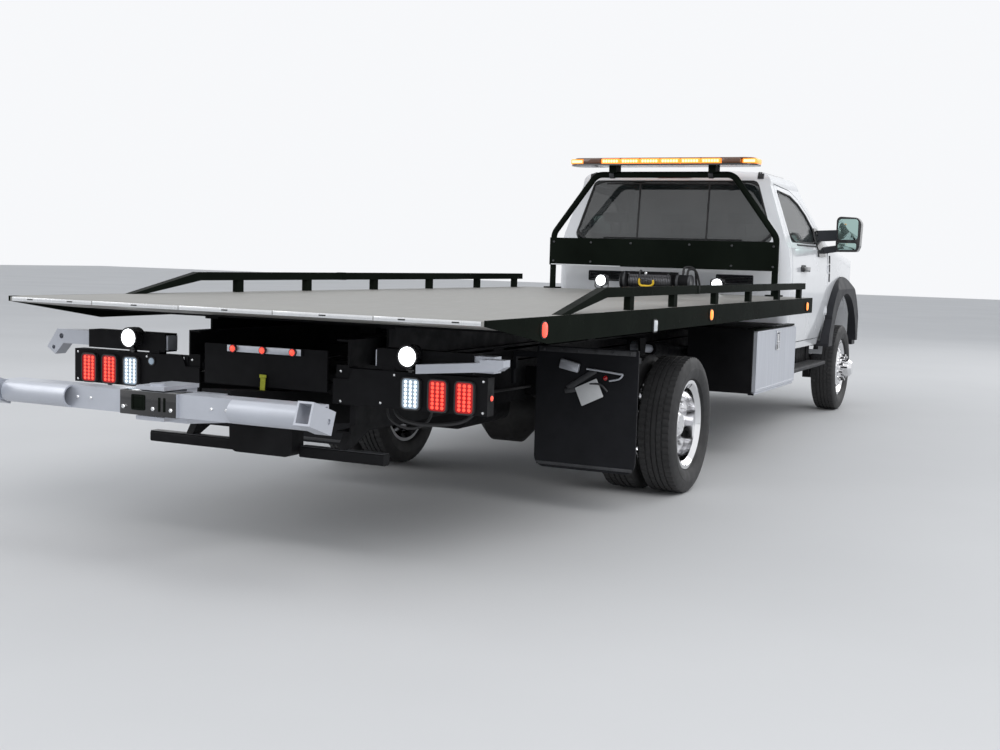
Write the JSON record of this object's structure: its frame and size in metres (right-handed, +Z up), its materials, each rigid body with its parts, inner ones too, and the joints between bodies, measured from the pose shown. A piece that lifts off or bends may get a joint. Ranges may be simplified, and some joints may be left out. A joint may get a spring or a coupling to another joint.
{
  "type": "flatbed tow truck",
  "caption": "Flatbed recovery truck: cab, steering front wheels, twin rear wheels, a bed that slides and tilts, winch, lamp bar and a lowering, extending wheel lift.",
  "frame": {"origin": "on the road under the middle of the whole truck", "axes": "+Z up, +Y towards the truck's tail, +X the truck's left side"},
  "size_m": [2.5932, 9.6456, 2.192],
  "materials": {
    "white_paint": "gloss white two-pack paint",
    "black_paint": "gloss black paint",
    "chassis_paint": "satin black chassis paint",
    "deck_steel": "worn satin steel plate",
    "silver_steel": "bright zinc-like steel",
    "polished_alloy": "polished aluminium",
    "brushed_alloy": "brushed aluminium",
    "cast_iron": "dark iron",
    "tyre": "black tread rubber",
    "flap_rubber": "plain black rubber",
    "dark_plastic": "grained dark plastic",
    "clear_glass": "tinted glass",
    "red_lens": "red lens",
    "white_lens": "clear lens",
    "amber_lens": "amber lens",
    "hook_paint": "yellow paint",
    "seat_cloth": "dark woven cloth",
    "mirror_shell": "black shell"
  },
  "bodies": {
    "chassis": {"frame_rails": "chassis_paint", "axle_front": "cast_iron", "axle_rear": "cast_iron", "driveline": "cast_iron", "fuel_tank": "chassis_paint", "exhaust": "cast_iron", "cab_body": "white_paint", "cab_roof": "white_paint", "cab_glass": "clear_glass", "fenders": "white_paint", "arch_flares": "dark_plastic", "grille": "dark_plastic", "headlamps": "white_lens", "bumper": "dark_plastic", "seat": "seat_cloth", "dashboard": "dark_plastic", "running_boards": "dark_plastic", "toolboxes": "chassis_paint", "mud_flaps": "flap_rubber", "light_panels": "chassis_paint", "lamps_red": "red_lens", "lamps_white": "white_lens", "underride_bar": "chassis_paint", "wheel_arms": "silver_steel"},
    "hood": {"hood": "white_paint"},
    "door_left": {"door_left": "white_paint", "door_glass_left": "clear_glass", "mirror_left": "mirror_shell"},
    "toolbox_door_left": {"toolbox_door_left": "brushed_alloy"},
    "knuckle_left": {"knuckle_left": "cast_iron"},
    "wheel_front_left": {"wheel_front_left": "polished_alloy", "tyre_front_left": "tyre"},
    "wheels_rear_left": {"wheels_rear_left": "polished_alloy", "tyres_rear_left": "tyre"},
    "door_right": {"door_right": "white_paint", "door_glass_right": "clear_glass", "mirror_right": "mirror_shell"},
    "toolbox_door_right": {"toolbox_door_right": "brushed_alloy"},
    "knuckle_right": {"knuckle_right": "cast_iron"},
    "wheel_front_right": {"wheel_front_right": "polished_alloy", "tyre_front_right": "tyre"},
    "wheels_rear_right": {"wheels_rear_right": "polished_alloy", "tyres_rear_right": "tyre"},
    "subframe": {"subframe": "chassis_paint"},
    "bed": {"bed_deck": "deck_steel", "bed_sides": "black_paint", "bed_beams": "chassis_paint", "cab_guard": "black_paint", "light_bar": "amber_lens", "winch": "chassis_paint", "tow_hook": "hook_paint", "marker_lamps": "amber_lens"},
    "tilt_barrels": {"tilt_barrels": "chassis_paint"},
    "tilt_rods": {"tilt_rods": "silver_steel"},
    "lift_boom": {"lift_boom": "chassis_paint"},
    "lift_slider": {"lift_slider": "silver_steel"},
    "crossbar": {"crossbar": "silver_steel"}
  },
  "joints": [
    {"name": "steer_left", "type": "hinge", "parent": "chassis", "child": "knuckle_left", "pos_m": [0.775, -3.85276, 0.405], "axis": [0, 0, 1], "range_deg": [-35, 35]},
    {"name": "wheel_front_left_spin", "type": "hinge", "parent": "knuckle_left", "child": "wheel_front_left", "pos_m": [0.9425, -3.85276, 0.405], "axis": [1, 0, 0], "continuous": true},
    {"name": "wheels_rear_left_spin", "type": "hinge", "parent": "chassis", "child": "wheels_rear_left", "pos_m": [0.9505, 1.35424, 0.405], "axis": [1, 0, 0], "continuous": true},
    {"name": "door_left_hinge", "type": "hinge", "parent": "chassis", "child": "door_left", "pos_m": [1.004, -3.21026, 1.145], "axis": [0, 0, -1], "range_deg": [0, 62]},
    {"name": "toolbox_door_left_hinge", "type": "hinge", "parent": "chassis", "child": "toolbox_door_left", "pos_m": [1.174, -0.62875, 0.468], "axis": [0, 1, 0], "range_deg": [0, 92]},
    {"name": "steer_right", "type": "hinge", "parent": "chassis", "child": "knuckle_right", "pos_m": [-0.775, -3.85276, 0.405], "axis": [0, 0, 1], "range_deg": [-35, 35]},
    {"name": "wheel_front_right_spin", "type": "hinge", "parent": "knuckle_right", "child": "wheel_front_right", "pos_m": [-0.9425, -3.85276, 0.405], "axis": [1, 0, 0], "continuous": true},
    {"name": "wheels_rear_right_spin", "type": "hinge", "parent": "chassis", "child": "wheels_rear_right", "pos_m": [-0.9505, 1.35424, 0.405], "axis": [1, 0, 0], "continuous": true},
    {"name": "door_right_hinge", "type": "hinge", "parent": "chassis", "child": "door_right", "pos_m": [-1.004, -3.21026, 1.145], "axis": [0, 0, 1], "range_deg": [0, 62]},
    {"name": "toolbox_door_right_hinge", "type": "hinge", "parent": "chassis", "child": "toolbox_door_right", "pos_m": [-1.174, -0.62875, 0.468], "axis": [0, -1, 0], "range_deg": [0, 92]},
    {"name": "hood_hinge", "type": "hinge", "parent": "chassis", "child": "hood", "pos_m": [0, -3.57176, 1.532], "axis": [-1, 0, 0], "range_deg": [0, 50]},
    {"name": "bed_tilt", "type": "hinge", "parent": "chassis", "child": "subframe", "pos_m": [0, 3.89724, 0.82], "axis": [-1, 0, 0], "range_deg": [0, 16]},
    {"name": "bed_slide", "type": "slide", "parent": "subframe", "child": "bed", "axis": [0, 1, 0], "range_m": [0, 3.4]},
    {"name": "tilt_cylinder_swing", "type": "hinge", "parent": "chassis", "child": "tilt_barrels", "pos_m": [0, -1.09275, 0.64], "axis": [1, 0, 0], "range_deg": [0, 23.43]},
    {"name": "tilt_cylinder_stroke", "type": "slide", "parent": "tilt_barrels", "child": "tilt_rods", "axis": [0, 0.9962, 0.0874], "range_m": [0, 0.3741]},
    {"name": "lift_boom_lower", "type": "hinge", "parent": "chassis", "child": "lift_boom", "pos_m": [0, 3.16724, 0.59], "axis": [-1, 0, 0], "range_deg": [0, 17]},
    {"name": "lift_extend", "type": "slide", "parent": "lift_boom", "child": "lift_slider", "axis": [0, 0.9961, 0.0882], "range_m": [0, 0.45]},
    {"name": "crossbar_swivel", "type": "hinge", "parent": "lift_slider", "child": "crossbar", "pos_m": [0, 4.65224, 0.742], "axis": [0, 0, 1], "range_deg": [-30, 30]}
  ],
  "couplings": [
    {"joint": "steer_right", "follows": "steer_left", "ratio": 1},
    {"joint": "tilt_cylinder_swing", "follows": "bed_tilt", "ratio": 1.4634},
    {"joint": "tilt_cylinder_stroke", "follows": "bed_tilt", "m_per_rad": 1.3378}
  ]
}
